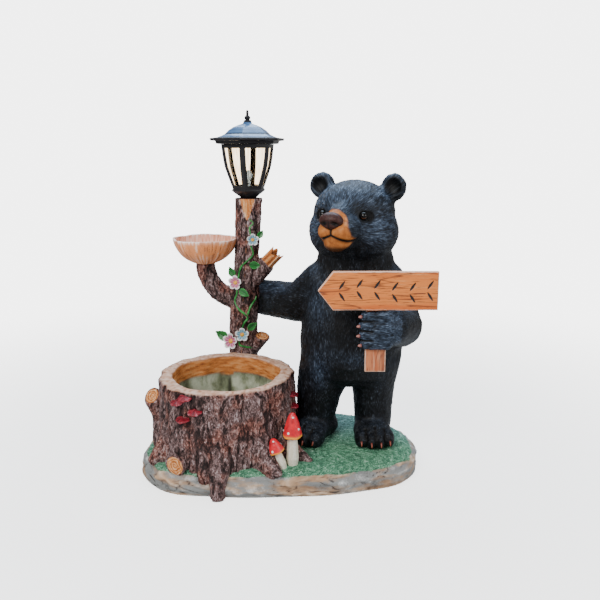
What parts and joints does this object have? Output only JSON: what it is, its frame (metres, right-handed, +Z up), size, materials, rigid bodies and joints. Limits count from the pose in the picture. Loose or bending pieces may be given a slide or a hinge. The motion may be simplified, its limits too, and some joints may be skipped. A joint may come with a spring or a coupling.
{
  "type": "garden planter statue",
  "caption": "Garden statue of a standing bear with an arrow sign beside a hollow tree stump planter, a feeder bowl and a lantern on a trunk.",
  "frame": {"origin": "middle of the base's flat underside", "axes": "+Z up, +Y to the back, so the bear faces -Y, and +X to the bear's side, away from the stump"},
  "size_m": [0.6375, 0.4668, 0.8003],
  "materials": {
    "painted_rock": "painted resin, grey rock with tan patches and green turf",
    "painted_bark": "painted resin, dark bark dry-brushed pale, bare wood in orange tan",
    "painted_wood": "painted resin, orange-brown wood with pale streaks",
    "bear_coat": "painted resin, satin blue-black fur, tan muzzle, glossy eyes",
    "sign_wood": "painted resin, orange wood grain with dark carved strokes",
    "toadstool_paint": "satin painted resin, red caps with white dots, cream stems",
    "fungus_paint": "painted resin, crimson with pale streaks",
    "leaf_paint": "satin painted resin, leaf green",
    "pink_flower_paint": "painted resin, white edges, pink inside, yellow middle",
    "blue_flower_paint": "painted resin, white edges, blue inside, yellow middle",
    "lantern_plastic": "glossy black moulded plastic",
    "clear_panes": "clear plastic",
    "lamp_plastic": "clear and white moulded plastic"
  },
  "bodies": {
    "root": {"arrow_sign": "sign_wood", "bear": "bear_coat", "bracket_fungus_1": "fungus_paint", "bracket_fungus_2": "fungus_paint", "bracket_fungus_3": "fungus_paint", "bracket_fungus_4": "fungus_paint", "bracket_fungus_5": "fungus_paint", "bracket_fungus_6": "fungus_paint", "feeder_bowl": "painted_wood", "flower_1": "blue_flower_paint", "flower_2": "pink_flower_paint", "flower_3": "blue_flower_paint", "flower_4": "pink_flower_paint", "lantern_cage": "lantern_plastic", "lantern_finial": "lantern_plastic", "lantern_glazing": "clear_panes", "lantern_lamp": "lamp_plastic", "lantern_roof": "lantern_plastic", "leaf_1": "leaf_paint", "leaf_2": "leaf_paint", "leaf_3": "leaf_paint", "leaf_4": "leaf_paint", "leaf_5": "leaf_paint", "leaf_6": "leaf_paint", "rock_base": "painted_rock", "stump_planter": "painted_bark", "toadstool_short": "toadstool_paint", "toadstool_tall": "toadstool_paint", "tree_trunk": "painted_bark", "vine": "leaf_paint", "vine_shoot": "leaf_paint"}
  },
  "joints": []
}
